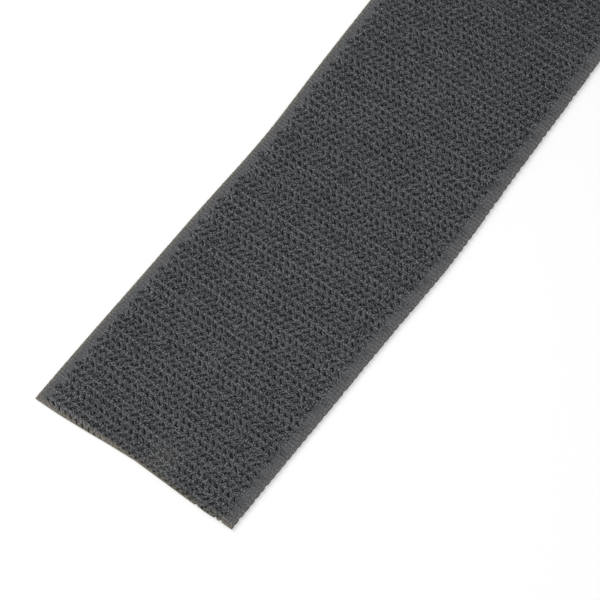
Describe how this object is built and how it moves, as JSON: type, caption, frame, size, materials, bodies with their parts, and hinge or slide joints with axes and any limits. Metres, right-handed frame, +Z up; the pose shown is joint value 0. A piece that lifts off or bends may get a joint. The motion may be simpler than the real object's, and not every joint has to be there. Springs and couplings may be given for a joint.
{
  "type": "hook tape roll",
  "caption": "Roll of woven hook tape on a paper core, its outer length laid flat with the hooks up and ending in a cut end that lifts.",
  "frame": {"origin": "middle of the part's footprint, on the table that it lies on", "axes": "+X along the laid tape, from the cut end to the roll; +Y across the tape, along the roll's axis; +Z up"},
  "size_m": [0.2578, 0.0618, 0.0982],
  "materials": {
    "core_paper": "matte",
    "start_tab": "matte",
    "web_weave": "matte",
    "hook_filament": "satin",
    "back_coat": "matte"
  },
  "bodies": {
    "roll": {"core_tube": "core_paper", "start_tab": "start_tab", "wound_web": "web_weave", "laid_back_coat": "back_coat", "laid_web": "web_weave", "laid_hook_field": "hook_filament"},
    "bend_1": {"bend_1_back_coat": "back_coat", "bend_1_web": "web_weave", "bend_1_hook_field": "hook_filament"},
    "bend_2": {"bend_2_back_coat": "back_coat", "bend_2_web": "web_weave", "bend_2_hook_field": "hook_filament"},
    "free_end": {"end_back_coat": "back_coat", "end_web": "web_weave", "end_hook_field": "hook_filament"}
  },
  "joints": [
    {"name": "roll_side_bend", "type": "hinge", "parent": "roll", "child": "bend_1", "pos_m": [-0.05811, -0.0009, 0.00058], "axis": [0.0766, 0.9971, 0], "range_deg": [0, 30], "stiffness_Nm_per_rad": 0.001},
    {"name": "middle_bend", "type": "hinge", "parent": "bend_1", "child": "bend_2", "pos_m": [-0.07406, 0.0004, 0.00058], "axis": [0.086, 0.9963, 0], "range_deg": [0, 30], "stiffness_Nm_per_rad": 0.001},
    {"name": "end_bend", "type": "hinge", "parent": "bend_2", "child": "free_end", "pos_m": [-0.08999, 0.00185, 0.00058], "axis": [0.0953, 0.9954, 0], "range_deg": [0, 30], "stiffness_Nm_per_rad": 0.001}
  ]
}
